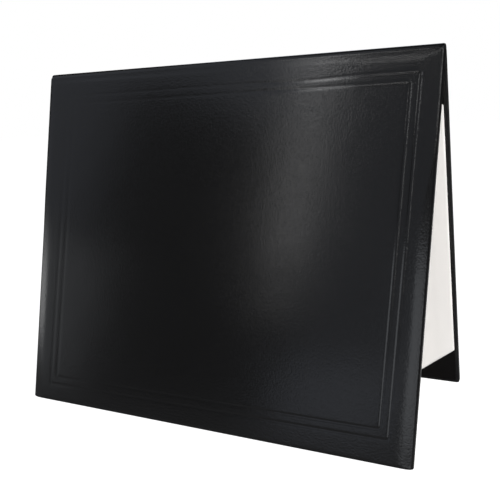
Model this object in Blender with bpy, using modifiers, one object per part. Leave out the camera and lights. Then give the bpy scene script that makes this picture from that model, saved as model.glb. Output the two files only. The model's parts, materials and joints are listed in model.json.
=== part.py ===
"""Padded leatherette diploma cover, standing as a tent. Metres, +Z up.

The fold runs along X and the origin is on the ground under the middle of the cover. Two padded
panels hang from a narrow spine and stand on their lower ends. The front panel, on the -Y side,
carries the pressed double frame. The back panel shows its white lining and its four corner
pockets to the space between the panels.

Inside a panel, depth counts from the outer face towards the other panel, and a place along the
panel counts from the fold line down to the foot.
"""

import math
from collections import namedtuple

import bmesh
import bpy
from mathutils import Matrix, Vector

# Overall size
COVER_WIDTH = 0.2920
BACK_NARROWER_EACH_SIDE = 0.0007
PANEL_LENGTH = 0.2413
PANEL_LEAN = math.radians(15.3)
CORNER_RADIUS = 0.0020

# Layers of a panel, from its outer face inwards
SKIN = 0.0004
FOAM = 0.0012
BOARD = 0.0015
LINING = 0.0003
GLUE_LINE = 0.0001

# Rolled edge, where the skin is pulled down over the soft edge of the foam: a long shallow arc,
# then a tight one into the wall of the panel
ROLL_AT_SIDES = 0.0040
ROLL_AT_FOLD = 0.0060
ROLL_SLOPE = math.radians(12)
OUTER_EDGE_RADIUS = 0.0008
INNER_EDGE_RADIUS = 0.0006
TURN_IN = 0.0140
WINDOW_RADIUS = 0.0010

# Pressed double frame on the front panel: margins from the left, right, foot and fold
FRAME_MARGINS = (0.0173, 0.0134, 0.0138, 0.0146)
FRAME_SPACING = 0.0056
FRAME_CORNER_RADIUS = 0.0022
LINE_FLOOR = 0.0012
LINE_SLOPE = 0.0007
LINE_DEPTH = 0.0003

# Lining, seen from inside the cover
LINING_MARGIN = 0.0026
LINING_FROM_FOLD = 0.0060
WINDOW_CLEARANCE = 0.0003

# Corner pockets that hold the document on the back panel
POCKET_SKIN = 0.0002
POCKET_ALONG_FOOT = 0.0325
POCKET_UP_SIDE = 0.0275

# Spine between the two fold lines
CLOSED_GAP = 0.0005
END_SETBACK = 0.0007
SPINE_SHORTER_EACH_END = 0.0010
SPINE_LINING_SHORTER_EACH_END = 0.0040
SPINE_SIDE_CLEARANCE = 0.0002
SPINE_EDGE_RADIUS = 0.0001

# Smoothness
CORNER_STEPS = 4
ROLL_STEPS = 3
EDGE_STEPS = 4
SMOOTH_ANGLE = math.radians(30)

# Depths in a panel that follow from the layers
FOAM_DEPTH = SKIN + GLUE_LINE
BOARD_DEPTH = FOAM_DEPTH + FOAM + GLUE_LINE
BOARD_BACK = BOARD_DEPTH + BOARD
TURN_IN_FACE = BOARD_BACK + GLUE_LINE + SKIN
LINING_DEPTH = TURN_IN_FACE + GLUE_LINE
LINING_FACE = LINING_DEPTH + LINING
POCKET_DEPTH = LINING_FACE + GLUE_LINE
POCKET_FACE = POCKET_DEPTH + POCKET_SKIN

# The shallow arc's radius, and the depth at which the roll has become the panel's wall
ROLL_RADIUS = (ROLL_AT_SIDES - OUTER_EDGE_RADIUS * (1 - math.sin(ROLL_SLOPE))) / math.sin(ROLL_SLOPE)
EDGE_DROP = ROLL_RADIUS * (1 - math.cos(ROLL_SLOPE)) + OUTER_EDGE_RADIUS * math.cos(ROLL_SLOPE)

# The fold line of a panel runs along the inner side of its skin, at the foot of the roll
FOLD_DEPTH = EDGE_DROP + SKIN
FOLD_OFFSET = LINING_FACE - FOLD_DEPTH + CLOSED_GAP / 2
FOLD_HEIGHT = (
    (PANEL_LENGTH - INNER_EDGE_RADIUS) * math.cos(PANEL_LEAN)
    + (TURN_IN_FACE - INNER_EDGE_RADIUS - FOLD_DEPTH) * math.sin(PANEL_LEAN)
    + INNER_EDGE_RADIUS
)

# A panel has its width, a pressed frame or none, and the empty on its fold line
Panel = namedtuple("Panel", ("side", "width", "framed", "empty"))


def clear_scene():
    for item in list(bpy.data.objects):
        bpy.data.objects.remove(item, do_unlink=True)


def make_collection(name):
    collection = bpy.data.collections.new(name)
    bpy.context.scene.collection.children.link(collection)
    return collection


def make_material(name, colour, roughness, metallic=0.0):
    material = bpy.data.materials.new(name)
    material.use_nodes = True
    shader = material.node_tree.nodes["Principled BSDF"]
    shader.inputs["Base Color"].default_value = (*colour, 1.0)
    shader.inputs["Roughness"].default_value = roughness
    shader.inputs["Metallic"].default_value = metallic
    return material


def make_empty(name, collection, location, rotation=(0.0, 0.0, 0.0)):
    empty = bpy.data.objects.new(name, None)
    empty.location = location
    empty.rotation_euler = rotation
    empty.empty_display_size = 0.02
    collection.objects.link(empty)
    return empty


def finish_object(name, mesh, collection, parent, material):
    """Makes the object, smooth where it is round, under the empty on its fold line."""
    mesh.name = name
    mesh.shade_smooth()
    mesh.set_sharp_from_angle(angle=SMOOTH_ANGLE)
    mesh.materials.clear()
    mesh.materials.append(material)
    piece = bpy.data.objects.new(name, mesh)
    piece.parent = parent
    collection.objects.link(piece)
    return piece


def ring(panel, insets, depth, radius):
    """Points round a rounded rectangle, inset from the panel's left, right, foot and fold line."""
    left, right, foot, fold = insets
    low_x, high_x = -panel.width / 2 + left + radius, panel.width / 2 - right - radius
    low_z, high_z = -PANEL_LENGTH + foot + radius, -fold - radius
    centres = ((high_x, high_z), (low_x, high_z), (low_x, low_z), (high_x, low_z))
    points = []
    for quarter, (x, z) in enumerate(centres):
        for step in range(CORNER_STEPS + 1):
            angle = math.pi / 2 * (quarter + step / CORNER_STEPS)
            across = Vector((math.cos(angle), 0.0, math.sin(angle))) * radius
            points.append(Vector((x, depth - FOLD_DEPTH, z)) + across)
    return points


def loft(rings, closed):
    """Mesh over rings that go from the outer face inwards; open at the last one for a shell."""
    shape = bmesh.new()
    loops = [[shape.verts.new(point) for point in points] for points in rings]
    shape.faces.new(loops[0])
    for near, far in zip(loops, loops[1:]):
        for index in range(len(near)):
            following = (index + 1) % len(near)
            shape.faces.new((near[index], far[index], far[following], near[following]))
    if closed:
        shape.faces.new(list(reversed(loops[-1])))
    mesh = bpy.data.meshes.new("loft")
    shape.to_mesh(mesh)
    shape.free()
    return mesh


def even_insets(inset):
    """The same inset on all sides, counted at the fold from the panel's set-back end."""
    return (inset, inset, inset, inset + END_SETBACK)


def pressed_frame_rings(panel, sink):
    """Rings over the two pressed lines, from the field outwards, sunk below the outer face."""
    half_floor = LINE_FLOOR / 2
    half_width = half_floor + LINE_SLOPE
    rings = []
    for line in (FRAME_SPACING, 0.0):
        for across, pressed in (
            (half_width, 0.0),
            (half_floor, LINE_DEPTH),
            (-half_floor, LINE_DEPTH),
            (-half_width, 0.0),
        ):
            insets = [margin + line + across for margin in FRAME_MARGINS]
            rings.append(ring(panel, insets, sink + pressed, FRAME_CORNER_RADIUS - across))
    return rings


def roll_profile():
    """Inset, depth and turn of the surface, from the flat face round to the panel's wall."""
    profile = []
    for step in range(ROLL_STEPS + 1):
        turn = ROLL_SLOPE * step / ROLL_STEPS
        inset = ROLL_AT_SIDES - ROLL_RADIUS * math.sin(turn)
        profile.append((inset, ROLL_RADIUS * (1 - math.cos(turn)), turn))
    for step in range(1, EDGE_STEPS + 1):
        turn = ROLL_SLOPE + (math.pi / 2 - ROLL_SLOPE) * step / EDGE_STEPS
        inset = OUTER_EDGE_RADIUS * (1 - math.sin(turn))
        profile.append((inset, EDGE_DROP - OUTER_EDGE_RADIUS * math.cos(turn), turn))
    return profile


def rolled_edge_rings(panel, sink):
    """Rings down the rolled edge, moved inwards by sink square to its surface."""
    rings = []
    for inset, depth, turn in roll_profile():
        inwards = sink * math.sin(turn)
        at_sides = inset + inwards
        at_fold = END_SETBACK + inset * ROLL_AT_FOLD / ROLL_AT_SIDES + inwards
        insets = (at_sides, at_sides, at_sides, at_fold)
        rings.append(ring(panel, insets, depth + sink * math.cos(turn), CORNER_RADIUS - inwards))
    return rings


def face_rings(panel, sink):
    """Rings from the middle of the outer face to the foot of the rolled edge."""
    pressed = pressed_frame_rings(panel, sink) if panel.framed else []
    return pressed + rolled_edge_rings(panel, sink)


def make_skin(panel, collection, material):
    """Leatherette over the outer face, round the edges and turned in over the board."""
    rings = face_rings(panel, 0.0)
    for step in range(EDGE_STEPS + 1):
        angle = math.pi / 2 * step / EDGE_STEPS
        inset = INNER_EDGE_RADIUS * (1 - math.cos(angle))
        depth = TURN_IN_FACE - INNER_EDGE_RADIUS * (1 - math.sin(angle))
        rings.append(ring(panel, even_insets(inset), depth, CORNER_RADIUS - inset))
    rings.append(ring(panel, even_insets(TURN_IN), TURN_IN_FACE, WINDOW_RADIUS))
    name = f"{panel.side}_cover_skin"
    skin = finish_object(name, loft(rings, closed=False), collection, panel.empty, material)
    shell = skin.modifiers.new("skin_thickness", "SOLIDIFY")
    shell.thickness = SKIN
    shell.offset = -1.0
    shell.use_even_offset = True
    return skin


def make_foam(panel, collection, material):
    """Padding under the skin, pressed down where the skin is."""
    inset = SKIN + GLUE_LINE
    rings = face_rings(panel, FOAM_DEPTH)
    rings.append(ring(panel, even_insets(inset), FOAM_DEPTH + FOAM, CORNER_RADIUS - inset))
    mesh = loft(rings, closed=True)
    return finish_object(f"{panel.side}_foam_pad", mesh, collection, panel.empty, material)


def make_board(panel, collection, material):
    """Stiff board that carries the panel."""
    inset = SKIN + GLUE_LINE
    radius = CORNER_RADIUS - inset
    rings = [
        ring(panel, even_insets(inset), depth, radius) for depth in (BOARD_DEPTH, BOARD_BACK)
    ]
    mesh = loft(rings, closed=True)
    return finish_object(f"{panel.side}_board", mesh, collection, panel.empty, material)


def make_lining(panel, collection, material):
    """White lining, down on the board inside the window and up over the turned-in skin."""
    in_window = even_insets(TURN_IN + WINDOW_CLEARANCE)
    over_skin = (LINING_MARGIN, LINING_MARGIN, LINING_MARGIN, LINING_FROM_FOLD)
    rings = [
        ring(panel, in_window, BOARD_BACK + GLUE_LINE, WINDOW_RADIUS),
        ring(panel, in_window, LINING_DEPTH, WINDOW_RADIUS),
        ring(panel, over_skin, LINING_DEPTH, GLUE_LINE),
        ring(panel, over_skin, LINING_FACE, GLUE_LINE),
    ]
    mesh = loft(rings, closed=True)
    return finish_object(f"{panel.side}_lining", mesh, collection, panel.empty, material)


def extruded_outline(points, near_depth, far_depth):
    """Flat outline given as (x, z) points of a panel, as a mesh between two depths."""
    curve = bpy.data.curves.new("outline", "CURVE")
    curve.dimensions = "2D"
    curve.fill_mode = "BOTH"
    curve.extrude = (far_depth - near_depth) / 2
    spline = curve.splines.new("POLY")
    spline.points.add(len(points) - 1)
    for target, (x, z) in zip(spline.points, points):
        target.co = (x, z, 0.0, 1.0)
    spline.use_cyclic_u = True
    drawn = bpy.data.objects.new("outline", curve)
    bpy.context.scene.collection.objects.link(drawn)
    bpy.context.view_layer.update()
    evaluated = drawn.evaluated_get(bpy.context.evaluated_depsgraph_get())
    mesh = bpy.data.meshes.new_from_object(evaluated)
    bpy.data.objects.remove(drawn, do_unlink=True)
    shape = bmesh.new()
    shape.from_mesh(mesh)
    bmesh.ops.remove_doubles(shape, verts=shape.verts, dist=1e-6)
    upright = Matrix.Rotation(math.pi / 2, 4, "X")
    in_depth = Matrix.Translation((0.0, (near_depth + far_depth) / 2 - FOLD_DEPTH, 0.0))
    bmesh.ops.transform(shape, matrix=in_depth @ upright, verts=shape.verts)
    bmesh.ops.recalc_face_normals(shape, faces=shape.faces)
    shape.to_mesh(mesh)
    shape.free()
    return mesh


def make_box(name, low, high):
    """Box mesh between two corners, from the cube primitive."""
    bpy.ops.mesh.primitive_cube_add(size=1.0)
    cube = bpy.context.active_object
    mesh = cube.data.copy()
    bpy.data.objects.remove(cube, do_unlink=True)
    low, high = Vector(low), Vector(high)
    mesh.transform(Matrix.LocRotScale((low + high) / 2, None, high - low))
    mesh.name = name
    return mesh


def make_lining_space(panel, collection):
    """Cutter that leaves room for the lining under the corner pockets."""
    half_width = panel.width / 2 - LINING_MARGIN + GLUE_LINE
    low = (-half_width, BOARD_BACK - FOLD_DEPTH, -PANEL_LENGTH + LINING_MARGIN - GLUE_LINE)
    high = (half_width, POCKET_DEPTH - FOLD_DEPTH, -LINING_FROM_FOLD + GLUE_LINE)
    cutter = bpy.data.objects.new("lining_space", make_box("lining_space", low, high))
    cutter.parent = panel.empty
    cutter.hide_render = True
    cutter.display_type = "WIRE"
    collection.objects.link(cutter)
    return cutter


def make_pocket(name, side, at_foot, panel, cutter, collection, material):
    """Triangle across one corner of the lining, with its two edges tucked down beside it."""
    wall = GLUE_LINE + POCKET_SKIN
    corner_x = side * (panel.width / 2 - LINING_MARGIN + wall)
    if at_foot:
        corner_z = -PANEL_LENGTH + LINING_MARGIN - wall
        rise = POCKET_UP_SIDE + wall
    else:
        corner_z = -LINING_FROM_FOLD + wall
        rise = -POCKET_UP_SIDE - wall
    outline = (
        (corner_x, corner_z),
        (corner_x - side * (POCKET_ALONG_FOOT + wall), corner_z),
        (corner_x, corner_z + rise),
    )
    mesh = extruded_outline(outline, LINING_DEPTH, POCKET_FACE)
    pocket = finish_object(name, mesh, collection, panel.empty, material)
    hollow = pocket.modifiers.new("room_for_lining", "BOOLEAN")
    hollow.operation = "DIFFERENCE"
    hollow.solver = "EXACT"
    hollow.object = cutter
    return pocket


def make_spine_strip(name, half_length, half_width, low_z, high_z, collection, parent, material):
    """Flat strip between the fold lines, placed from the front fold line's empty."""
    low = (-half_length, FOLD_OFFSET - half_width, low_z)
    high = (half_length, FOLD_OFFSET + half_width, high_z)
    strip = finish_object(name, make_box(name, low, high), collection, parent, material)
    edges = strip.modifiers.new("soft_edges", "BEVEL")
    edges.width = SPINE_EDGE_RADIUS
    edges.segments = 2
    return strip


def build():
    clear_scene()
    cover = make_collection("diploma_cover")
    cutters = make_collection("cutters")

    leatherette = make_material("black_leatherette", (0.012, 0.012, 0.013), 0.38)
    satin = make_material("black_satin", (0.010, 0.009, 0.009), 0.50)
    moire = make_material("white_lining", (0.80, 0.78, 0.75), 0.70)
    foam = make_material("padding", (0.75, 0.74, 0.68), 0.95)
    board = make_material("binders_board", (0.36, 0.32, 0.26), 0.90)

    fold_front = (0.0, -FOLD_OFFSET, FOLD_HEIGHT)
    fold_back = (0.0, FOLD_OFFSET, FOLD_HEIGHT)
    front_fold = make_empty("front_fold", cover, fold_front, (-PANEL_LEAN, 0.0, 0.0))
    back_fold = make_empty("back_fold", cover, fold_back, (-PANEL_LEAN, 0.0, math.pi))
    spine = make_empty("spine_fold", cover, fold_front)

    front = Panel("front", COVER_WIDTH, True, front_fold)
    back = Panel("back", COVER_WIDTH - 2 * BACK_NARROWER_EACH_SIDE, False, back_fold)
    for panel in (front, back):
        make_skin(panel, cover, leatherette)
        make_foam(panel, cover, foam)
        make_board(panel, cover, board)
        make_lining(panel, cover, moire)

    # The back panel is turned to face the front one, so its own +X side is the cover's left
    lining_space = make_lining_space(back, cutters)
    for name, side, at_foot in (
        ("pocket_foot_left", 1, True),
        ("pocket_foot_right", -1, True),
        ("pocket_head_left", 1, False),
        ("pocket_head_right", -1, False),
    ):
        make_pocket(name, side, at_foot, back, lining_space, cover, satin)

    make_spine_strip(
        "spine_skin",
        COVER_WIDTH / 2 - SPINE_SHORTER_EACH_END,
        FOLD_OFFSET,
        0.0,
        SKIN,
        cover,
        spine,
        leatherette,
    )
    make_spine_strip(
        "spine_lining",
        COVER_WIDTH / 2 - SPINE_LINING_SHORTER_EACH_END,
        FOLD_OFFSET - SPINE_SIDE_CLEARANCE,
        -GLUE_LINE - LINING,
        -GLUE_LINE,
        cover,
        spine,
        leatherette,
    )


build()
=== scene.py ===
"""Padded leatherette diploma cover, standing as a tent: detailed pieces, materials, camera, light.

Places on a panel are given as x along the fold, down from the fold line and depth from the outer
face inwards, all in metres. place() turns them into world places.
"""
import json
import math

import bmesh
import bpy
import numpy as np
from mathutils import Matrix, Vector


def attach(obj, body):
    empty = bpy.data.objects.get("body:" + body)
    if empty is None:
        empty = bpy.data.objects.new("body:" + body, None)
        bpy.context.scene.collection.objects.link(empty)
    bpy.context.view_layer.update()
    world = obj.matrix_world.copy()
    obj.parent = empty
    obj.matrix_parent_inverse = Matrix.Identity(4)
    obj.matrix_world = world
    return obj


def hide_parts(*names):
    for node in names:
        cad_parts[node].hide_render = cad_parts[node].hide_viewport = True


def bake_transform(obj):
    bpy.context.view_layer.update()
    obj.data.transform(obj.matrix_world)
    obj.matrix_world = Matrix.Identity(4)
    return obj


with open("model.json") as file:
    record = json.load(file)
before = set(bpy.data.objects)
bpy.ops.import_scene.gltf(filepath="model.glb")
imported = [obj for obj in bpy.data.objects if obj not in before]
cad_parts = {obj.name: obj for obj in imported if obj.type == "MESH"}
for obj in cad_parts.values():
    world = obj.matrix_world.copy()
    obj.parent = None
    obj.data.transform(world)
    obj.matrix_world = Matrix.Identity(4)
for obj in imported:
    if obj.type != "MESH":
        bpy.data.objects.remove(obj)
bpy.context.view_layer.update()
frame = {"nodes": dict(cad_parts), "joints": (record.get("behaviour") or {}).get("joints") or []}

# Sizes of the frame that the pieces are built on
JOINTS = {joint["name"]: joint for joint in frame["joints"]}
FOLD_OFFSET, FOLD_HEIGHT = JOINTS["back_fold"]["pos_m"][1:]
LEAN = math.radians(15.3)
HALF_WIDTH = {"front": 0.1460, "back": 0.1453}
PANEL_LENGTH = 0.2413
END_SETBACK = 0.0007
CORNER_RADIUS = 0.0018

# Leatherette: thickness, depth of a ring on the panel's wall, width and depth of the turn-in, and
# inset and corner radius of the rings across it
SKIN = 0.0004
SKIN_WALL_RING = 0.0022
TURN_IN = 0.0140
TURN_IN_FACE = 0.0038
TURN_IN_RINGS = ((0.0018, 0.0012), (0.0050, 0.0006), (TURN_IN, 0.0006))

# Foam pad: gap to the leatherette and depth of its back
PAD_GAP = 0.0001
PAD_BACK = 0.0017

# Lining: margins to the edges and to the fold, depth of its face, thickness, radius of its edge,
# and how much lower it lies inside the turn-ins
LINING_MARGIN = 0.0026
LINING_FROM_FOLD = 0.0060
LINING_FACE = 0.0042
LINING_THICKNESS = 0.0003
LINING_EDGE_RADIUS = 0.00012
LINING_DIP = 0.00010

# Rolled edge
ROLL_AT_SIDES = 0.0040
ROLL_AT_FOLD = 0.0060
ROLL_SLOPE = math.radians(12)
OUTER_EDGE_RADIUS = 0.0008
INNER_EDGE_RADIUS = 0.0006
ROLL_RADIUS = (ROLL_AT_SIDES - OUTER_EDGE_RADIUS * (1 - math.sin(ROLL_SLOPE))) / math.sin(ROLL_SLOPE)
EDGE_DROP = ROLL_RADIUS * (1 - math.cos(ROLL_SLOPE)) + OUTER_EDGE_RADIUS * math.cos(ROLL_SLOPE)
FOLD_DEPTH = EDGE_DROP + SKIN

# Pressed double frame: margins left, right, foot, fold; then the spacing of its two lines, its
# corner radius, and the width of a line's floor and of its slopes, and its depth
FRAME_MARGINS = (0.0173, 0.0134, 0.0138, 0.0146)
FRAME_SPACING = 0.0056
FRAME_CORNER_RADIUS = 0.0022
LINE_FLOOR = 0.0006
LINE_SLOPE = 0.0011
LINE_DEPTH = 0.00008
# How far the frame's corners sit from that rectangle: top left, top right, foot right, foot left
FRAME_SHIFTS = ((0.0018, 0.0018), (0.0013, -0.0007), (-0.0015, -0.0012), (-0.0012, 0.0013))
# Rolled edges at the left, right, foot and fold: the width, then each change of it along the edge
# as (how much, from where, over what length)
ROLL_WIDTHS = {
    "front": (
        (0.0060, (0.0048, 0.085, 0.045)),
        (0.0018, (0.0062, 0.050, 0.055), (0.0016, 0.165, 0.070)),
        (0.0022,),
        (0.0060, (0.0026, 0.080, 0.020), (-0.0058, 0.130, 0.016)),
    ),
    "back": ((0.0042,), (0.0042,), (0.0036,), (0.0060,)),
}
ROLL_STEEPNESS = {"front": (9, 10, 12, 8), "back": (12, 12, 12, 8)}
# The border over which a change of the width fades out, and where a change of the depth does so on
# the panel's wall
ROLL_BLEND = 0.0036
WALL_FADE = (0.0007, 0.0009)
# How far the front panel's padded edges stand out at the left and the right, and over what width
EDGE_FULLNESS = ((0.0006, 0.012), (0.0003, 0.010))
WAVE_DEPTH = 0.000012

# The pressed lines: how deep they went in everywhere, more at the right, and more low down at the
# left, as (how much, from where, over what length)
PRESSED_EVERYWHERE = 0.20
PRESSED_AT_RIGHT = (0.80, 0.012, 0.032)
PRESSED_LOW_LEFT = (0.50, 0.095, 0.025)
LEFT_SIDE = (-0.105, -0.015)
GENTLER_AT_LEFT = 1.6
# How far the outer and the inner line sag at the top, and the middle and width of that stretch
LINE_SAGS = (0.0012, 0.0002)
SAG_MIDDLE = 0.055
SAG_WIDTH = 0.028
# Gloss of the lines' inner slopes: its peak, which is cut off at 1, and the width it fades over
GLOSS_PEAK = 1.6
GLOSS_WIDTH = 0.0008
# The askew move starts this far from the edge and is whole after this width
SKEW_BAND = (0.0045, 0.0060)

# Mesh: steps beside and between the pressed lines, next to a zone's edge, and in the open field
BESIDE_LINE_STEP = 0.0011
BETWEEN_LINES_STEP = 0.0009
ZONE_EDGE_STEP = 0.0016
FIELD_STEP = 0.0040
PLAIN_FIELD_STEP = 0.0050
ZONE_EDGE_WIDTH = 0.008
PLAIN_ZONE_EDGE_WIDTH = 0.020
LINE_MESH_PLACES = (1.0, 0.78, 0.56, 0.34, 0.12)
ROLL_STEPS = 6
OUTER_EDGE_STEPS = 7
INNER_EDGE_STEPS = 4
CORNER_ARC_STEPS = 24
CORNER_REACH = 5
PANEL_SHARP_ANGLE = math.radians(50)
STRIP_SHARP_ANGLE = math.radians(60)


def place(points, side):
    """World places of panel points (x, down, depth)."""
    points = np.asarray(points, float)
    x, down, depth = points[..., 0], points[..., 1], points[..., 2]
    across = depth - FOLD_DEPTH
    y = FOLD_OFFSET - (across * math.cos(LEAN) - down * math.sin(LEAN))
    z = FOLD_HEIGHT - across * math.sin(LEAN) - down * math.cos(LEAN)
    return np.stack((x, -y if side == "front" else y, z), -1)


def smooth(t):
    t = np.clip(t, 0.0, 1.0)
    return t * t * (3 - 2 * t)


def rise(value, start, length):
    """0 up to start, 1 past that length and smooth between; with a negative length, backwards."""
    return smooth((value - start) / length)


def link_piece(name, data):
    """Adds an object to the scene."""
    piece = bpy.data.objects.new(name, data)
    bpy.context.scene.collection.objects.link(piece)
    return piece


def mesh_object(name, vertices, faces, material):
    """Closed strip or pocket with its normals outwards."""
    mesh = bpy.data.meshes.new(name)
    mesh.from_pydata([tuple(v) for v in vertices], [], [tuple(f) for f in faces])
    shape = bmesh.new()
    shape.from_mesh(mesh)
    bmesh.ops.remove_doubles(shape, verts=shape.verts, dist=1e-7)
    bmesh.ops.recalc_face_normals(shape, faces=shape.faces)
    shape.to_mesh(mesh)
    shape.free()
    mesh.shade_smooth()
    mesh.set_sharp_from_angle(angle=STRIP_SHARP_ANGLE)
    mesh.materials.append(material)
    return link_piece(name, mesh)


# Materials


def new_material(name, colour, roughness):
    material = bpy.data.materials.new(name)
    material.use_nodes = True
    shader = material.node_tree.nodes["Principled BSDF"]
    shader.inputs["Base Color"].default_value = (*colour, 1.0)
    shader.inputs["Roughness"].default_value = roughness
    return material, material.node_tree, shader


def node(tree, kind, **settings):
    made = tree.nodes.new(kind)
    for key, value in settings.items():
        if key in made.inputs:
            made.inputs[key].default_value = value
        else:
            setattr(made, key, value)
    return made


def coordinates(tree, scale=(1.0, 1.0, 1.0), rotation=(0.0, 0.0, 0.0)):
    source = node(tree, "ShaderNodeTexCoord")
    mapping = node(tree, "ShaderNodeMapping")
    mapping.inputs["Scale"].default_value = scale
    mapping.inputs["Rotation"].default_value = rotation
    tree.links.new(source.outputs["Object"], mapping.inputs["Vector"])
    return mapping.outputs["Vector"]


def noise(tree, vector, scale, detail=3.0, roughness=0.5):
    made = node(tree, "ShaderNodeTexNoise")
    made.inputs["Scale"].default_value = scale
    made.inputs["Detail"].default_value = detail
    made.inputs["Roughness"].default_value = roughness
    tree.links.new(vector, made.inputs["Vector"])
    return made.outputs["Fac"]


def cells(tree, vector, scale, smoothness=0.6):
    made = node(tree, "ShaderNodeTexVoronoi", feature="SMOOTH_F1")
    made.inputs["Scale"].default_value = scale
    made.inputs["Smoothness"].default_value = smoothness
    tree.links.new(vector, made.inputs["Vector"])
    return made.outputs["Distance"]


def math_node(tree, operation, a, b=0.0):
    made = node(tree, "ShaderNodeMath", operation=operation)
    for slot, value in enumerate((a, b)):
        if isinstance(value, (int, float)):
            made.inputs[slot].default_value = value
        else:
            tree.links.new(value, made.inputs[slot])
    return made.outputs[0]


def ramp_value(tree, value, low, high, to_low, to_high):
    made = node(tree, "ShaderNodeMapRange")
    made.inputs["From Min"].default_value = low
    made.inputs["From Max"].default_value = high
    made.inputs["To Min"].default_value = to_low
    made.inputs["To Max"].default_value = to_high
    tree.links.new(value, made.inputs["Value"])
    return made.outputs["Result"]


def mix_colour(tree, factor, first, second):
    made = node(tree, "ShaderNodeMix", data_type="RGBA")
    made.inputs[6].default_value = (*first, 1.0)
    made.inputs[7].default_value = (*second, 1.0)
    tree.links.new(factor, made.inputs[0])
    return made.outputs[2]


def bump(tree, height, strength, distance, before=None):
    made = node(tree, "ShaderNodeBump")
    made.inputs["Strength"].default_value = strength
    made.inputs["Distance"].default_value = distance
    tree.links.new(height, made.inputs["Height"])
    if before is not None:
        tree.links.new(before, made.inputs["Normal"])
    return made.outputs["Normal"]


def leatherette_material(name):
    """Black with fine creases, which the pressed lines' slopes have less of."""
    material, tree, shader = new_material(name, colour=(0.0025, 0.0025, 0.0027), roughness=0.15)
    shader.inputs["Specular IOR Level"].default_value = 0.40
    where = coordinates(tree)
    grain = cells(tree, where, scale=1150.0)
    fine = noise(tree, where, scale=2600.0, detail=2.0)
    creases = noise(tree, coordinates(tree, scale=(1.0, 0.80, 0.80)), scale=1000.0, detail=0.4)
    clouds = noise(tree, where, scale=38.0)
    tint = mix_colour(tree, clouds, (0.0022, 0.0022, 0.0024), (0.0028, 0.0028, 0.0030))
    tree.links.new(tint, shader.inputs["Base Color"])
    patchy = ramp_value(tree, creases, low=0.3, high=0.7, to_low=0.14, to_high=0.19)
    pressed = node(tree, "ShaderNodeAttribute", attribute_name="pressed")
    sheer = ramp_value(tree, pressed.outputs["Fac"], low=0.0, high=1.0, to_low=1.0, to_high=0.60)
    tree.links.new(math_node(tree, "MULTIPLY", patchy, sheer), shader.inputs["Roughness"])
    pebbles = bump(tree, grain, strength=0.20, distance=0.00005)
    relief = bump(tree, creases, strength=1.00, distance=0.000038, before=pebbles)
    standing = ramp_value(tree, pressed.outputs["Fac"], low=0.0, high=1.0, to_low=1.0, to_high=0.15)
    tree.links.new(standing, relief.node.inputs["Strength"])
    relief = bump(tree, fine, strength=0.20, distance=0.00003, before=relief)
    tree.links.new(relief, shader.inputs["Normal"])
    return material


def lining_material(name):
    """Warm white cloth in a plain weave."""
    material, tree, shader = new_material(name, colour=(0.80, 0.780, 0.756), roughness=0.62)
    where = coordinates(tree)
    clouds = noise(tree, where, scale=30.0)
    tint = mix_colour(tree, clouds, (0.785, 0.765, 0.741), (0.815, 0.795, 0.773))
    tree.links.new(tint, shader.inputs["Base Color"])
    warp = node(tree, "ShaderNodeTexWave", wave_type="BANDS", bands_direction="X")
    weft = node(tree, "ShaderNodeTexWave", wave_type="BANDS", bands_direction="Z")
    for wave in (warp, weft):
        wave.inputs["Scale"].default_value = 480.0
        wave.inputs["Distortion"].default_value = 1.2
        wave.inputs["Detail Scale"].default_value = 3.0
        tree.links.new(where, wave.inputs["Vector"])
    weave = math_node(tree, "MULTIPLY", warp.outputs["Fac"], weft.outputs["Fac"])
    tree.links.new(bump(tree, weave, strength=0.35, distance=0.00005), shader.inputs["Normal"])
    shader.inputs["Sheen Weight"].default_value = 0.12
    shader.inputs["Sheen Roughness"].default_value = 0.4
    return material


def satin_material(name):
    """Black cloth with fine ribs that run askew over the corner."""
    material, tree, shader = new_material(name, colour=(0.0036, 0.0033, 0.0032), roughness=0.60)
    where = coordinates(tree, rotation=(0.0, math.radians(40), 0.0))
    clouds = noise(tree, where, scale=60.0, detail=2.0)
    tint = mix_colour(tree, clouds, (0.0032, 0.0029, 0.0028), (0.0041, 0.0037, 0.0036))
    tree.links.new(tint, shader.inputs["Base Color"])
    ribs = node(tree, "ShaderNodeTexWave", wave_type="BANDS", bands_direction="X")
    ribs.inputs["Scale"].default_value = 700.0
    ribs.inputs["Distortion"].default_value = 0.6
    tree.links.new(where, ribs.inputs["Vector"])
    relief = bump(tree, ribs.outputs["Fac"], strength=0.30, distance=0.00004)
    tree.links.new(relief, shader.inputs["Normal"])
    shader.inputs["Specular IOR Level"].default_value = 0.08
    return material


def foam_material(name):
    """Pale foam with open pores."""
    material, tree, shader = new_material(name, colour=(0.75, 0.74, 0.68), roughness=0.95)
    where = coordinates(tree)
    pores = cells(tree, where, scale=1900.0, smoothness=0.2)
    clouds = noise(tree, where, scale=90.0)
    tint = mix_colour(tree, clouds, (0.72, 0.70, 0.63), (0.78, 0.77, 0.71))
    tree.links.new(tint, shader.inputs["Base Color"])
    tree.links.new(bump(tree, pores, strength=0.6, distance=0.00015), shader.inputs["Normal"])
    return material


def board_material(name):
    """Greyboard with specks and short fibres."""
    material, tree, shader = new_material(name, colour=(0.36, 0.32, 0.26), roughness=0.9)
    fibres = noise(tree, coordinates(tree, scale=(1.0, 1.0, 6.0)), scale=350.0, detail=5.0)
    specks = noise(tree, coordinates(tree), scale=900.0, detail=2.0)
    tint = mix_colour(tree, specks, (0.30, 0.27, 0.22), (0.42, 0.38, 0.31))
    tree.links.new(tint, shader.inputs["Base Color"])
    tree.links.new(bump(tree, fibres, strength=0.4, distance=0.00008), shader.inputs["Normal"])
    return material


LEATHERETTE = leatherette_material("black_leatherette_grain")
LINING_CLOTH = lining_material("white_lining_cloth")
SATIN = satin_material("black_pocket_satin")
FOAM_SHEET = foam_material("foam_sheet")
GREYBOARD = board_material("greyboard")


# Panel skins


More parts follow.
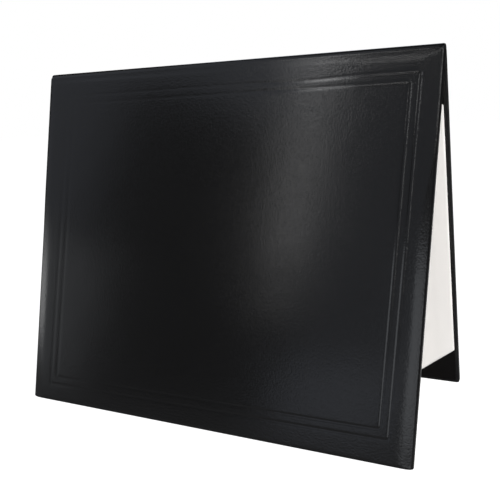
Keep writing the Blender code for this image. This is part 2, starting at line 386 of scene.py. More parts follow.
def roll_profile():
    """Inset, depth and turn over the rolled edge, from the flat face to the wall of the panel."""
    profile = []
    for step in range(ROLL_STEPS + 1):
        turn = ROLL_SLOPE * step / ROLL_STEPS
        inset = ROLL_AT_SIDES - ROLL_RADIUS * math.sin(turn)
        profile.append((inset, ROLL_RADIUS * (1 - math.cos(turn)), turn))
    for step in range(1, OUTER_EDGE_STEPS + 1):
        turn = ROLL_SLOPE + (math.pi / 2 - ROLL_SLOPE) * step / OUTER_EDGE_STEPS
        inset = OUTER_EDGE_RADIUS * (1 - math.sin(turn))
        profile.append((inset, EDGE_DROP - OUTER_EDGE_RADIUS * math.cos(turn), turn))
    return profile


def line_positions(margin):
    """Insets of the mesh lines across one side of the pressed frame, counted from the edge."""
    half = LINE_FLOOR / 2 + LINE_SLOPE
    across = [-share * half for share in LINE_MESH_PLACES]
    across += [-value for value in reversed(across)]
    lines = []
    for centre in (margin, margin + FRAME_SPACING):
        lines += [centre + value for value in across]
    return lines


def spaced(start, end, step):
    count = max(1, round(abs(end - start) / step))
    return list(np.linspace(start, end, count + 1))


def face_lines(low_margin, high_margin, low_start, high_start, length, framed):
    """Mesh lines across the face, between the two rolled edges."""
    if not framed:
        low = low_start + PLAIN_ZONE_EDGE_WIDTH
        high = length - high_start - PLAIN_ZONE_EDGE_WIDTH
        lines = spaced(low_start, low, ZONE_EDGE_STEP)[:-1] + spaced(low, high, PLAIN_FIELD_STEP)
        return np.array(lines + spaced(high, length - high_start, ZONE_EDGE_STEP)[1:])

    def both_lines(places):
        outer, inner = places[:len(places) // 2], places[len(places) // 2:]
        return outer + spaced(outer[-1], inner[0], BETWEEN_LINES_STEP)[1:-1] + inner

    low = line_positions(low_margin)
    high = [length - value for value in reversed(line_positions(high_margin))]
    field_low, field_high = low[-1] + ZONE_EDGE_WIDTH, high[0] - ZONE_EDGE_WIDTH
    lines = spaced(low_start, low[0], BESIDE_LINE_STEP)[:-1] + both_lines(low)
    lines += spaced(low[-1], field_low, ZONE_EDGE_STEP)[1:-1]
    lines += spaced(field_low, field_high, FIELD_STEP)
    lines += spaced(field_high, high[0], ZONE_EDGE_STEP)[1:-1]
    lines += both_lines(high) + spaced(high[-1], length - high_start, BESIDE_LINE_STEP)[1:]
    return np.array(lines)


def rounded_distance(from_sides, from_ends, radius):
    """Distance inside a rectangle's outline with rounded corners, from the two insets."""
    corner = (from_sides < radius) & (from_ends < radius)
    inside = np.minimum(from_sides, from_ends)
    return np.where(corner, radius - np.hypot(radius - from_sides, radius - from_ends), inside)


def line_distances(x, down, half_width):
    """Distances inwards, from the middle of the two pressed lines, of points of the front face."""
    left, right, foot, fold = FRAME_MARGINS
    from_sides = np.minimum(x + half_width - left, half_width - x - right)
    sagging = np.exp(-((x - SAG_MIDDLE) / SAG_WIDTH) ** 2)
    distances = []
    for line, sag in zip((0.0, FRAME_SPACING), LINE_SAGS):
        from_ends = np.minimum(down - fold - sag * sagging, PANEL_LENGTH - foot - down)
        distances.append(rounded_distance(from_sides - line, from_ends - line, FRAME_CORNER_RADIUS))
    return distances


def pressing(x, down):
    """How deep the lines went in: most at the right, a little more low down at the left."""
    share, start, length = PRESSED_AT_RIGHT
    pressed = PRESSED_EVERYWHERE + share * rise(x, start, length)
    share, start, length = PRESSED_LOW_LEFT
    return pressed + share * rise(x, *LEFT_SIDE) * rise(down, start, length)


def pressed_depth(x, down, half_width):
    """Depth of the two pressed lines, whose outer slope is gentler at the left."""
    depth = np.zeros_like(x)
    gentler = 1 + GENTLER_AT_LEFT * rise(x, *LEFT_SIDE)
    for inwards in line_distances(x, down, half_width):
        slope = np.where(inwards < 0, LINE_SLOPE * gentler, LINE_SLOPE)
        depth += smooth(1 - (np.abs(inwards) - LINE_FLOOR / 2) / slope)
    return depth * LINE_DEPTH * pressing(x, down)


def burnished(x, down, half_width):
    """Share of gloss on the inner slopes of the pressed lines."""
    share = np.zeros_like(x)
    slope_middle = (LINE_FLOOR + LINE_SLOPE) / 2
    for inwards in line_distances(x, down, half_width):
        share += smooth(GLOSS_PEAK - np.abs(inwards - slope_middle) / GLOSS_WIDTH)
    return share * (pressing(x, down) - PRESSED_EVERYWHERE)


def roll_widths(x, down, side):
    """Width of the rolled edge at the left, right, foot and fold, at each point's place along it."""
    widths = []
    for (width, *changes), along in zip(ROLL_WIDTHS[side], (down, down, x, x)):
        widths.append(width + sum(
            (much * rise(along, start, length) for much, start, length in changes),
            start=np.zeros_like(along),
        ))
    return widths


def stretched(inset, nominal, wanted):
    """Inset moved so that the nominal roll gets its local width, fading out over the border."""
    reach = np.maximum(nominal, wanted) + ROLL_BLEND
    moved = inset * wanted / nominal
    fade = smooth((inset - nominal) / (reach - nominal))
    beyond = inset + (wanted - nominal) * (1 - fade)
    return np.where(inset <= 0, inset, np.where(inset < nominal, moved, beyond))


def roll_change(inset, nominal, wanted, slope):
    """Extra depth of a roll, so that it gets its local steepness over its local width."""
    share = np.clip((nominal - inset) / (nominal - OUTER_EDGE_RADIUS), 0.0, 1.0)
    drop = ROLL_RADIUS * (1 - math.cos(ROLL_SLOPE)) * share ** 2
    scale = wanted / ROLL_AT_SIDES * math.tan(math.radians(slope)) / math.tan(ROLL_SLOPE)
    return drop * (scale - 1)


def skewed(x, down):
    """The front frame sits a little askew: its corners are moved, and the rest goes along."""
    left, right, foot, fold = FRAME_MARGINS
    half = HALF_WIDTH["front"]
    across = (x + half - left) / (2 * half - left - right)
    along = (down - fold) / (PANEL_LENGTH - foot - fold)
    edge = np.minimum(np.minimum(x + half, half - x), np.minimum(down, PANEL_LENGTH - down))
    weight = rise(edge, *SKEW_BAND)
    moves = []
    for axis in (0, 1):
        top = FRAME_SHIFTS[0][axis] * (1 - across) + FRAME_SHIFTS[1][axis] * across
        low = FRAME_SHIFTS[3][axis] * (1 - across) + FRAME_SHIFTS[2][axis] * across
        moves.append((top * (1 - along) + low * along) * weight)
    return x + moves[0], down + moves[1]


def waviness(x, down, side):
    """Slight unevenness of the padding under the leatherette."""
    phase = 0.0 if side == "front" else 1.7
    wave = np.sin(x * 71 + 0.6 + phase) * np.sin(down * 63 + 1.1)
    wave += 0.6 * np.sin(x * 133 - down * 97 + 2.0 * phase)
    wave += 0.4 * np.sin(x * 211 + down * 187 + 0.3)
    return WAVE_DEPTH * wave


def warped(points, side):
    """Nominal places on the outer face moved to their real ones."""
    x, down, depth = points.T
    half = HALF_WIDTH[side]
    widths = roll_widths(x, down, side)
    nominal = (ROLL_AT_SIDES, ROLL_AT_SIDES, ROLL_AT_SIDES, ROLL_AT_FOLD)
    insets = (x + half, half - x, PANEL_LENGTH - down, down - END_SETBACK)
    left, right, foot, fold = (stretched(*values) for values in zip(insets, nominal, widths))
    new_x = np.where(x < 0, left - half, half - right)
    new_down = np.where(down < PANEL_LENGTH / 2, fold + END_SETBACK, PANEL_LENGTH - foot)
    change = sum(roll_change(*values) for values in zip(insets, nominal, widths, ROLL_STEEPNESS[side]))
    new_depth = depth + change * (1 - rise(depth, *WALL_FADE))
    if side == "front":
        new_x, new_down = skewed(new_x, new_down)
        (left_fullness, left_width), (right_fullness, right_width) = EDGE_FULLNESS
        new_x -= left_fullness * smooth(1 - (x + half) / left_width)
        new_x += right_fullness * smooth(1 - (half - x) / right_width)
    return np.column_stack((new_x, new_down, new_depth + waviness(new_x, new_down, side)))


def grid_loop(columns, rows):
    """Column and row of the grid's points round the edge, and the corners' places in that loop."""
    loop = [(i, 0) for i in range(columns - 1)]
    loop += [(columns - 1, j) for j in range(rows - 1)]
    loop += [(i, rows - 1) for i in range(columns - 1, 0, -1)]
    loop += [(0, j) for j in range(rows - 1, 0, -1)]
    corners = (0, columns - 1, columns + rows - 2, 2 * columns + rows - 3)
    return loop, corners


def grid_faces(columns, rows):
    """Faces of a grid whose points are numbered column by column."""
    firsts = [i * rows + j for i in range(columns - 1) for j in range(rows - 1)]
    return [(first, first + rows, first + rows + 1, first + 1) for first in firsts]


def ring_faces(ring, following):
    """Faces between two closed rings of point numbers."""
    count = len(ring)
    pairs = [(n, (n + 1) % count) for n in range(count)]
    return [(ring[n], following[n], following[m], ring[m]) for n, m in pairs]


def corner_path(start, corner, end, radius, count):
    """Evenly spaced points from start to end round a corner, with an arc of that radius."""
    start, corner, end = (np.array(p, float) for p in (start, corner, end))
    towards_start = (start - corner) / np.linalg.norm(start - corner)
    towards_end = (end - corner) / np.linalg.norm(end - corner)
    centre = corner + (towards_start + towards_end) * radius
    path = [start]
    for step in range(CORNER_ARC_STEPS + 1):
        angle = math.pi / 2 * step / CORNER_ARC_STEPS
        path.append(centre - radius * (towards_end * math.cos(angle) + towards_start * math.sin(angle)))
    path.append(end)
    path = np.array(path)
    lengths = np.concatenate(([0.0], np.cumsum(np.linalg.norm(np.diff(path, axis=0), axis=1))))
    wanted = np.linspace(0.0, lengths[-1], count)
    return np.column_stack([np.interp(wanted, lengths, path[:, axis]) for axis in (0, 1)])


def loop_ring(xs, downs, box, radius):
    """The grid's edge loop moved to another rectangle, with rounded corners."""
    low_x, high_x, low_down, high_down = box
    loop, corners = grid_loop(len(xs), len(downs))
    fit_x = low_x + (xs - xs[0]) * (high_x - low_x) / (xs[-1] - xs[0])
    fit_down = low_down + (downs - downs[0]) * (high_down - low_down) / (downs[-1] - downs[0])
    points = np.array([(fit_x[i], fit_down[j]) for i, j in loop])
    total = len(loop)
    for corner in corners:
        here = [(corner + offset) % total for offset in range(-CORNER_REACH, CORNER_REACH + 1)]
        start, middle, end = points[here[0]], points[corner], points[here[-1]]
        points[here] = corner_path(start, middle, end, radius, len(here))
    return points


def lofted(name, side, xs, downs, depth, rings, material, closed, inwards=False, warp=None):
    """A grid with rings round it, as one mesh on a panel. rings are (box, depth, radius)."""
    columns, rows = len(xs), len(downs)
    grid_x, grid_down = np.meshgrid(xs, downs, indexing="ij")
    layers = [np.stack((grid_x.ravel(), grid_down.ravel(), depth.ravel()), -1)]
    faces = grid_faces(columns, rows)
    previous = [i * rows + j for i, j in grid_loop(columns, rows)[0]]
    count = columns * rows
    for box, level, radius in rings:
        points = loop_ring(xs, downs, box, radius)
        layers.append(np.column_stack((points, np.full(len(points), level))))
        current = list(range(count, count + len(points)))
        count += len(points)
        faces += ring_faces(previous, current)
        previous = current
    if closed:
        faces.append(tuple(reversed(previous)))
    points = np.concatenate(layers)
    if warp is not None:
        points = warp(points)
    turned = (side == "front") != inwards
    faces = [tuple(reversed(face)) if turned else face for face in faces]
    mesh = bpy.data.meshes.new(name)
    mesh.from_pydata([tuple(p) for p in place(points, side)], [], faces)
    mesh.validate()
    mesh.shade_smooth()
    mesh.set_sharp_from_angle(angle=PANEL_SHARP_ANGLE)
    mesh.materials.append(material)
    return link_piece(name, mesh)


def skin_grid(side):
    half = HALF_WIDTH[side]
    framed = side == "front"
    left, right, foot, fold = FRAME_MARGINS
    start = END_SETBACK + ROLL_AT_FOLD
    xs = face_lines(left, right, ROLL_AT_SIDES, ROLL_AT_SIDES, 2 * half, framed) - half
    downs = face_lines(fold, foot, start, ROLL_AT_SIDES, PANEL_LENGTH, framed)
    grid_x, grid_down = np.meshgrid(xs, downs, indexing="ij")
    depth = pressed_depth(grid_x, grid_down, half) if framed else np.zeros_like(grid_x)
    return xs, downs, depth


def box_inset(side, at_sides, at_fold):
    half = HALF_WIDTH[side]
    return (-half + at_sides, half - at_sides, at_fold, PANEL_LENGTH - at_sides)


def roll_rings(side, sink):
    """Rings over the rolled edge, lying that far under the leatherette's outer face."""
    rings = []
    for inset, depth, turn in roll_profile()[1:]:
        inwards = sink * math.sin(turn)
        at_fold = END_SETBACK + inset * ROLL_AT_FOLD / ROLL_AT_SIDES + inwards
        radius = max(0.0001, CORNER_RADIUS * (1 - inset / ROLL_AT_SIDES) - inwards)
        box = box_inset(side, inset + inwards, at_fold)
        rings.append((box, depth + sink * math.cos(turn), radius))
    return rings


def make_skin(side):
    """Leatherette over the padded face, round the edges and turned in over the board."""
    xs, downs, depth = skin_grid(side)
    rings = roll_rings(side, 0.0)
    rings.append((box_inset(side, 0.0, END_SETBACK), SKIN_WALL_RING, CORNER_RADIUS))
    for step in range(INNER_EDGE_STEPS + 1):
        angle = math.pi / 2 * step / INNER_EDGE_STEPS
        inset = INNER_EDGE_RADIUS * (1 - math.cos(angle))
        level = TURN_IN_FACE - INNER_EDGE_RADIUS * (1 - math.sin(angle))
        rings.append((box_inset(side, inset, inset + END_SETBACK), level, CORNER_RADIUS - inset))
    for inset, radius in TURN_IN_RINGS:
        rings.append((box_inset(side, inset, inset + END_SETBACK), TURN_IN_FACE, radius))
    skin = lofted(
        f"{side}_leatherette", side, xs, downs, depth, rings, LEATHERETTE, False,
        warp=lambda points: warped(points, side),
    )
    if side == "front":
        gloss = burnished(*np.meshgrid(xs, downs, indexing="ij"), HALF_WIDTH[side]).ravel()
        values = np.zeros(len(skin.data.vertices))
        values[:len(gloss)] = gloss
        skin.data.attributes.new("pressed", "FLOAT", "POINT").data.foreach_set("value", values)
    shell = skin.modifiers.new("skin_thickness", "SOLIDIFY")
    shell.thickness = SKIN
    shell.offset = -1.0
    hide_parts(f"{side}_cover_skin")
    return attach(skin, side)


def make_padding(side):
    """Foam sheet under the leatherette, pressed where the leatherette is."""
    sink = SKIN + PAD_GAP
    xs, downs, depth = skin_grid(side)
    rings = roll_rings(side, sink)
    rings.append((box_inset(side, sink, END_SETBACK + sink), PAD_BACK, CORNER_RADIUS - sink))
    pad = lofted(
        f"{side}_padding", side, xs, downs, depth + sink, rings, FOAM_SHEET, True,
        warp=lambda points: warped(points, side),
    )
    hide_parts(f"{side}_foam_pad")
    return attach(pad, side)


# The lining's dip inside the turn-in: where it starts and over what width, and the band of finest
# mesh there. Then the mesh steps outside, in and inside that band, and the insets of its back.
DIP = (0.0115, 0.0050)
DIP_BAND = (0.0100, 0.0190)
LINING_SIDE_STEP = 0.0015
LINING_FOLD_STEP = 0.0010
LINING_BAND_STEP = 0.0006
LINING_FIELD_STEP = 0.0050
LINING_BACK_INSETS = (0.0080, 0.0130)
LINING_WAVE = 0.00002
LINING_CORNER_RADIUS = 0.0003


def lining_lines(low_margin, low_step, high_margin, length):
    """Mesh lines of the lining, from one margin to the other."""
    start, end = DIP_BAND

    def border(margin, step):
        return spaced(margin + LINING_EDGE_RADIUS, start, step)[:-1] + spaced(start, end, LINING_BAND_STEP)

    lines = border(low_margin, low_step)[:-1] + spaced(end, length - end, LINING_FIELD_STEP)[:-1]
    return np.array(lines + [length - value for value in reversed(border(high_margin, LINING_SIDE_STEP))])


def make_lining(side):
    """Lining cloth over the board, lying a little lower inside the turned-in leatherette."""
    half = HALF_WIDTH[side]
    xs = lining_lines(LINING_MARGIN, LINING_SIDE_STEP, LINING_MARGIN, 2 * half) - half
    downs = lining_lines(LINING_FROM_FOLD, LINING_FOLD_STEP, LINING_MARGIN, PANEL_LENGTH)
    grid_x, grid_down = np.meshgrid(xs, downs, indexing="ij")
    from_ends = np.minimum(grid_down - END_SETBACK, PANEL_LENGTH - grid_down)
    inset = np.minimum(half - np.abs(grid_x), from_ends)
    depth = LINING_FACE - LINING_DIP * rise(inset, *DIP)
    depth += LINING_WAVE * np.sin(grid_x * 140 + 0.4) * np.sin(grid_down * 118 + 0.9)
    soft = LINING_EDGE_RADIUS
    back = LINING_FACE - LINING_THICKNESS
    flat_inset, sunk_inset = LINING_BACK_INSETS

    def box(outset):
        return (xs[0] - outset, xs[-1] + outset, downs[0] - outset, downs[-1] + outset)

    rings = [
        (box(soft * 0.7), LINING_FACE - soft * 0.3, LINING_CORNER_RADIUS),
        (box(soft), LINING_FACE - soft, LINING_CORNER_RADIUS + 0.0001),
        (box(soft), back + soft * 0.3, LINING_CORNER_RADIUS + 0.0001),
        (box(soft * 0.7), back, LINING_CORNER_RADIUS),
        (box(-flat_inset), back, LINING_CORNER_RADIUS),
        (box(-sunk_inset), back - LINING_DIP, LINING_CORNER_RADIUS),
    ]
    cloth = lofted(f"{side}_lining_cloth", side, xs, downs, depth, rings, LINING_CLOTH, True, inwards=True)
    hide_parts(f"{side}_lining")
    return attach(cloth, side)


# Corner pockets on the back panel: legs, depth of the face, how far they reach round the lining's
# edges and how far face and back are tucked down there, swelling in the middle, and gap below
POCKET_ALONG_FOOT = 0.0325
POCKET_UP_SIDE = 0.0275
POCKET_FACE = 0.0045
POCKET_REACH = 0.0003
POCKET_TUCK = 0.00050
POCKET_BACK_TUCK = 0.00036
POCKET_SWELL = 0.00004
POCKET_GAP = 0.00006
THINNEST_POCKET = 0.00008
# The free edge's hem: how far it stands up, the line pressed beside it, and how far face and back
# close in at the very end. Places go from 0 at the corner to 1 at the free edge.
HEM_RISE, HEM_BAND = 0.00008, (0.90, 0.015)
HEM_LINE_DEPTH, HEM_LINE_PLACE, HEM_LINE_WIDTH = 0.00006, 0.89, 0.010
HEM_END_BAND = (0.975, 0.025)
HEM_END_FACE, HEM_END_BACK = 0.00010, 0.00004
# Mesh places from the corner to the free edge, and from one leg to the other
HEM_PLACES = (0.88, 0.895, 0.91, 0.93, 0.95, 0.97, 0.985, 1.0)
OUTWARD_PLACES = np.concatenate((np.linspace(0.03, 0.86, 14), HEM_PLACES))
NEAR_LEG_PLACES = np.array([0.0, 0.004, 0.011, 0.02, 0.035, 0.06, 0.10])
ACROSS_PLACES = np.concatenate((NEAR_LEG_PLACES, np.linspace(0.14, 0.86, 19), 1 - NEAR_LEG_PLACES[::-1]))


def make_pocket(name, sign, at_foot):
    """Triangle of satin over a corner of the lining, its two edges tucked round the lining's."""
    end_down = PANEL_LENGTH - LINING_MARGIN + POCKET_REACH if at_foot else LINING_FROM_FOLD - POCKET_REACH
    corner = np.array((sign * (HALF_WIDTH["back"] - LINING_MARGIN + POCKET_REACH), end_down))
    along = np.array((-sign * (POCKET_ALONG_FOOT + POCKET_REACH), 0.0))
    up = np.array((0.0, (POCKET_UP_SIDE + POCKET_REACH) * (-1 if at_foot else 1)))
    top, low = [], []
    for outward in OUTWARD_PLACES:
        line = HEM_LINE_DEPTH * math.exp(-((outward - HEM_LINE_PLACE) / HEM_LINE_WIDTH) ** 2)
        hem = HEM_RISE * rise(outward, *HEM_BAND) - line
        end = rise(outward, *HEM_END_BAND)
        for across in ACROSS_PLACES:
            from_legs = outward * min(across * POCKET_UP_SIDE, (1 - across) * POCKET_ALONG_FOOT)
            tuck = smooth(1 - from_legs / POCKET_REACH)
            x, down = corner + outward * ((1 - across) * along + across * up)
            swell = POCKET_SWELL * outward * outward * math.sin(math.pi * across)
            face = POCKET_FACE + hem + swell - HEM_END_FACE * end - POCKET_TUCK * tuck
            back = LINING_FACE + POCKET_GAP + swell * 0.8 + HEM_END_BACK * end - POCKET_BACK_TUCK * tuck
            top.append((x, down, face))
            low.append((x, down, min(back, face - THINNEST_POCKET)))
    columns, rows = len(OUTWARD_PLACES), len(ACROSS_PLACES)
    vertices = np.array(top + low)
    under = columns * rows
    faces = grid_faces(columns, rows)
    faces += [(a + under, d + under, c + under, b + under) for a, b, c, d in faces]
    edge = [i * rows + j for i, j in grid_loop(columns, rows)[0]]
    faces += ring_faces(edge, [point + under for point in edge])
    pocket = mesh_object(name, place(vertices, "back"), faces, SATIN)
    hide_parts(name.replace("corner_", ""))
    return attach(pocket, "back")


# Spine, outer strip: height of its top, how far it ends short of the front panel's sides, points
# per span of its path, thickness at some of these points, the middle of the spine's hinge, and the
# point where the bending ends on the panel
SPINE_TOP = FOLD_HEIGHT + 0.00045
SPINE_SHORT = 0.0010
SPINE_STEPS = 3
SPINE_THICKNESS_POINTS = (0, 9, 27)
SPINE_THICKNESS = (0.00018, 0.00028, 0.00036)
SPINE_BEND_FROM = (0.0022, SPINE_TOP)
SPINE_BEND_POINT = 10
# The same for the inner strip, and its depth on the panel
SPINE_INNER_SHORT = 0.0040
SPINE_INNER_STEPS = 4
SPINE_INNER_THICKNESS = 0.00022
SPINE_INNER_BEND_POINT = -13
SPINE_INNER_FACE = 0.00386
# Both strips: mesh step along the fold and distance of the first one from an end, the rounded end's
# length, and how thick the strip is on its two outermost rings
STRIP_STEP = 0.006
STRIP_FIRST = 0.002
STRIP_END = 0.00015
STRIP_END_SHARES = (0.45, 0.85)


def catmull(points, per_span):
    """Smooth curve through points."""
    points = np.array(points, float)
    padded = np.vstack((2 * points[0] - points[1], points, 2 * points[-1] - points[-2]))
    curve = []
    for n in range(1, len(padded) - 2):
        p0, p1, p2, p3 = padded[n - 1:n + 3]
        for step in range(per_span):
            t = step / per_span
            curve.append(0.5 * (
                2 * p1 + (p2 - p0) * t + (2 * p0 - 5 * p1 + 4 * p2 - p3) * t * t
                + (3 * p1 - 3 * p2 + p3 - p0) * t ** 3
            ))
    curve.append(points[-1])
    return np.array(curve)


def moved_in(path, thickness):
    """The inner path of a strip: its outer one moved in by its thickness at each point."""
    tangent = np.gradient(path, axis=0)
    tangent /= np.linalg.norm(tangent, axis=1)[:, None]
    normal = np.column_stack((tangent[:, 1], -tangent[:, 0]))
    return path + normal * thickness[:, None]


def make_hinge_strip(name, side, outer, thickness, half_length, material):
    """Strip along the fold, between the panel and the middle of the spine."""
    inner = moved_in(outer, thickness)
    section = np.vstack((outer, inner[::-1]))
    ends = [half_length - STRIP_END, half_length - STRIP_END * 0.3, half_length]
    xs = [-value for value in reversed(ends)]
    xs += spaced(STRIP_FIRST - half_length, half_length - STRIP_FIRST, STRIP_STEP) + ends
    middle = (outer + inner) / 2
    centre = np.vstack((middle, middle[::-1]))
    vertices = []
    for n, x in enumerate(xs):
        near_end = min(n, len(xs) - 1 - n)
        share = STRIP_END_SHARES[near_end] if near_end < len(STRIP_END_SHARES) else 1.0
        ring = centre + (section - centre) * share
        for y, z in ring:
            vertices.append((x, y if side == "back" else -y, z))
    count = len(section)
    faces = []
    for n in range(len(xs) - 1):
        for m in range(count):
            k = (m + 1) % count
            faces.append((n * count + m, n * count + k, (n + 1) * count + k, (n + 1) * count + m))
    for m in range(len(outer) - 1):
        faces.append((m, m + 1, count - 2 - m, count - 1 - m))
        last = (len(xs) - 1) * count
        faces.append((last + m, last + count - 1 - m, last + count - 2 - m, last + m + 1))
    return mesh_object(name, vertices, faces, material)


def fold_section(points):
    """World (y, z) of the back panel's section from (down, depth) places."""
    places = place([(0.0, down, depth) for down, depth in points], "back")
    return [(y, z) for _, y, z in places]


def hinge_cloth(strip, side, node_name, at_spine, at_panel):
    """Hides the part that a strip replaces and bakes the strip's place into its mesh. The two (y, z)
    places, on the spine and the panel, are not used.
    """
    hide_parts(node_name)
    sign = 1 if side == "back" else -1
    at_spine, at_panel = ((0.0, sign * y, z) for y, z in (at_spine, at_panel))
    if side == "back":
        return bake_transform(strip)
    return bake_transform(strip)


def make_spine(side):
    """Leatherette over the fold: from under the panel's rolled edge to the middle of the spine."""
    outside = fold_section([
        (0.0066, 0.00016), (0.0048, 0.00024), (0.0032, 0.00028),
        (0.0019, 0.00032), (0.0009, 0.00050), (0.0003, 0.00086),
    ])
    outside.append((0.00285, FOLD_HEIGHT + 0.00034))
    outside += [(0.0020, SPINE_TOP), (0.0010, SPINE_TOP), (0.0, SPINE_TOP)]
    path = catmull(outside, SPINE_STEPS)
    thickness = np.interp(np.arange(len(path)), SPINE_THICKNESS_POINTS, SPINE_THICKNESS)
    half_length = HALF_WIDTH["front"] - SPINE_SHORT
    strip = make_hinge_strip(f"spine_leatherette_{side}", side, path, thickness, half_length, LEATHERETTE)
    on_panel = path[SPINE_BEND_POINT]
    return hinge_cloth(strip, side, "spine_skin", SPINE_BEND_FROM, on_panel)


def make_spine_lining(side):
    """Inner strip of the fold, from under the lining's edge to the middle of the spine."""
    inside = [(0.0, FOLD_HEIGHT - 0.00045), (0.0006, FOLD_HEIGHT - 0.00050)]
    inside += fold_section([
        (0.0006, 0.00330), (0.0014, 0.00378),
        (0.0030, SPINE_INNER_FACE), (0.0058, SPINE_INNER_FACE), (0.0095, SPINE_INNER_FACE),
    ])
    path = catmull(inside, SPINE_INNER_STEPS)
    thickness = np.full(len(path), SPINE_INNER_THICKNESS)
    half_length = HALF_WIDTH["front"] - SPINE_INNER_SHORT
    strip = make_hinge_strip(f"spine_inner_{side}", side, path, thickness, half_length, LEATHERETTE)
    on_panel = path[SPINE_INNER_BEND_POINT]
    return hinge_cloth(strip, side, "spine_lining", path[0], on_panel)


for side in ("front", "back"):
    make_skin(side)
    make_padding(side)
    make_lining(side)
    board = frame["nodes"][f"{side}_board"]
    board.data.materials.clear()
    board.data.materials.append(GREYBOARD)
    make_spine(side)
    make_spine_lining(side)

for end_name, at_foot in (("foot", True), ("head", False)):
    for side_name, sign in (("left", -1), ("right", 1)):
        make_pocket(f"corner_pocket_{end_name}_{side_name}", sign, at_foot)


# Camera at the photograph's place

CAMERA_PLACE = (0.236979, -0.401927, 0.209141)
YAW, PITCH, ROLL = -0.469956, -0.28107, -0.052557
LENS = 48.364
LENS_SHIFT = (-0.0591, 0.0842)
forward = Vector((math.sin(YAW) * math.cos(PITCH), math.cos(YAW) * math.cos(PITCH), math.sin(PITCH)))
level_right = Vector((math.cos(YAW), -math.sin(YAW), 0.0))
level_up = level_right.cross(forward)
right = level_right * math.cos(ROLL) + level_up * math.sin(ROLL)
up = -level_right * math.sin(ROLL) + level_up * math.cos(ROLL)
camera_data = bpy.data.cameras.new("camera")
camera_data.lens = LENS
camera_data.sensor_width = 36.0
camera_data.shift_x, camera_data.shift_y = LENS_SHIFT
camera = link_piece("camera", camera_data)
camera.matrix_world = Matrix.Translation(CAMERA_PLACE) @ Matrix((right, up, -forward)).transposed().to_4x4()
bpy.context.scene.camera = camera


# Floor and light. The white backdrop is the world itself, as the camera sees it.

# Each lamp: name, azimuth to the left of -Y and elevation as seen from the panel, distance,
# width and height, radiance, colour
WHITE = (1.0, 1.0, 1.0)
COOL = (0.80, 0.86, 1.0)
PALE = (0.90, 0.94, 1.0)
LAMPS = (
    ("strip_box", 25.5, 27.0, 1.5, (0.06, 0.68), 4.6, WHITE),
    ("strip_low", 25.5, 11.0, 1.5, (0.06, 0.18), 1.9, WHITE),
    ("strip_top", 26.0, 39.0, 1.5, (0.12, 0.14), 4.0, WHITE),
    ("upper_box", 48.0, 48.0, 1.6, (1.1, 1.1), 0.60, COOL),
    ("left_box", 54.5, 3.5, 1.5, (0.52, 0.40), 0.64, PALE),
    ("left_high", 57.5, 21.0, 1.5, (0.52, 0.50), 0.45, COOL),
    ("left_bright", 64.5, 2.5, 1.5, (0.38, 0.22), 2.5, WHITE),
    ("right_dim", 14.0, 19.0, 1.5, (0.48, 0.92), 0.29, COOL),
    ("right_low", -1.5, 6.5, 1.5, (0.44, 0.56), 1.75, PALE),
    ("foot_right", 17.5, -0.5, 1.5, (0.34, 0.20), 0.80, COOL),
    ("right_high", -5.5, 34.0, 1.5, (0.34, 0.22), 3.0, WHITE),
    ("top_right", 15.5, 40.5, 1.5, (0.20, 0.03), 9.5, WHITE),
    ("back_box", 160.0, 35.0, 1.6, (1.1, 0.9), 0.8, COOL),
)
# These light matt surfaces only: gloss doesn't see them
FILL_LAMPS = (
    ("side_box", -66.0, 8.0, 1.6, (1.2, 1.2), 10.5, (1.0, 0.995, 0.995)),
)
LAMP_TARGET = Vector((0.03, -0.03, 0.12))
# Strength of the world for matt surfaces and for gloss, in front of the cover and behind it, and
# over which part of the directions (the +Y share of one) the first passes into the second
WORLD_DIFFUSE = 0.22
WORLD_GLOSSY = 0.13
WORLD_GLOSSY_BEHIND = 0.02
BEHIND_FROM, BEHIND_TO = -0.1, 0.4
# Floor: its own colour, and its glow as the camera, gloss and matt surfaces see it
FLOOR_COLOUR = 0.40
FLOOR_SHOWN = 0.95
FLOOR_GLOSSY = 0.03
FLOOR_BOUNCE = 0.50


def seen_strength(tree, shown, glossy, other):
    """Strength by kind of ray: what the camera and glass see, what gloss sees, and matt surfaces."""
    paths = node(tree, "ShaderNodeLightPath")
    seen = math_node(tree, "MAXIMUM", paths.outputs["Is Camera Ray"], paths.outputs["Is Transmission Ray"])
    strength = math_node(tree, "MULTIPLY", seen, shown)
    gloss = math_node(tree, "MULTIPLY", paths.outputs["Is Glossy Ray"], glossy)
    rest = math_node(tree, "MULTIPLY", paths.outputs["Is Diffuse Ray"], other)
    return math_node(tree, "ADD", math_node(tree, "ADD", strength, gloss), rest)


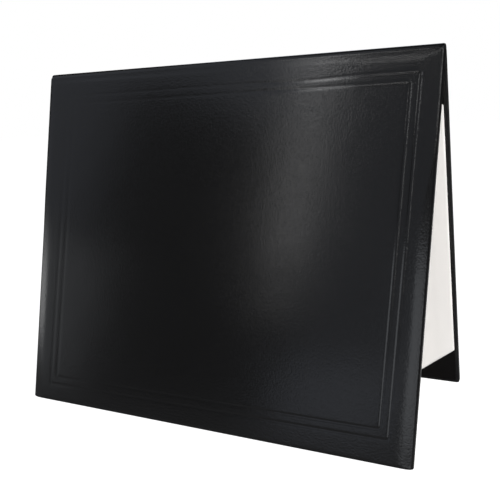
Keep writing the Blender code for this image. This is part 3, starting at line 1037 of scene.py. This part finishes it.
def make_floor():
    """Ground under the cover, which the camera sees as white."""
    shape = bmesh.new()
    bmesh.ops.create_grid(shape, x_segments=1, y_segments=1, size=4.0)
    mesh = bpy.data.meshes.new("floor")
    shape.to_mesh(mesh)
    shape.free()
    material, tree, shader = new_material("white_floor", (FLOOR_COLOUR,) * 3, 1.0)
    shader.inputs["Specular IOR Level"].default_value = 0.0
    glow = node(tree, "ShaderNodeEmission")
    tree.links.new(seen_strength(tree, FLOOR_SHOWN, FLOOR_GLOSSY, FLOOR_BOUNCE), glow.inputs["Strength"])
    both = node(tree, "ShaderNodeAddShader")
    tree.links.new(shader.outputs["BSDF"], both.inputs[0])
    tree.links.new(glow.outputs["Emission"], both.inputs[1])
    tree.links.new(both.outputs["Shader"], tree.nodes["Material Output"].inputs["Surface"])
    mesh.materials.append(material)
    link_piece("floor", mesh)


def make_lamp(name, azimuth_left, elevation, distance, size, radiance, colour, shines=True):
    """Rectangular lamp, aimed at the cover."""
    azimuth, elevation = math.radians(azimuth_left), math.radians(elevation)
    level = math.cos(elevation)
    outwards = Vector((-math.sin(azimuth) * level, -math.cos(azimuth) * level, math.sin(elevation)))
    data = bpy.data.lights.new(name, "AREA")
    data.shape = "RECTANGLE"
    data.size, data.size_y = size
    data.energy = radiance * size[0] * size[1] * math.pi
    data.color = colour
    lamp = link_piece(name, data)
    lamp.location = LAMP_TARGET + outwards * distance
    lamp.rotation_mode = "QUATERNION"
    lamp.rotation_quaternion = (-outwards).to_track_quat("-Z", "Y")
    lamp.visible_glossy = shines


make_floor()
for lamp in LAMPS:
    make_lamp(*lamp)
for lamp in FILL_LAMPS:
    make_lamp(*lamp, shines=False)

world = bpy.data.worlds.new("surroundings")
bpy.context.scene.world = world
world.use_nodes = True
sky = world.node_tree
background = sky.nodes["Background"]
background.inputs["Color"].default_value = (1.0, 1.0, 1.0, 1.0)
place_seen = node(sky, "ShaderNodeTexCoord")
direction = node(sky, "ShaderNodeSeparateXYZ")
sky.links.new(place_seen.outputs["Generated"], direction.inputs["Vector"])
front_to_back = ramp_value(
    sky, direction.outputs["Y"], BEHIND_FROM, BEHIND_TO, WORLD_GLOSSY, WORLD_GLOSSY_BEHIND
)
sky.links.new(seen_strength(sky, 1.0, front_to_back, WORLD_DIFFUSE), background.inputs["Strength"])

bpy.context.scene.view_settings.view_transform = "Standard"

bpy.context.view_layer.update()
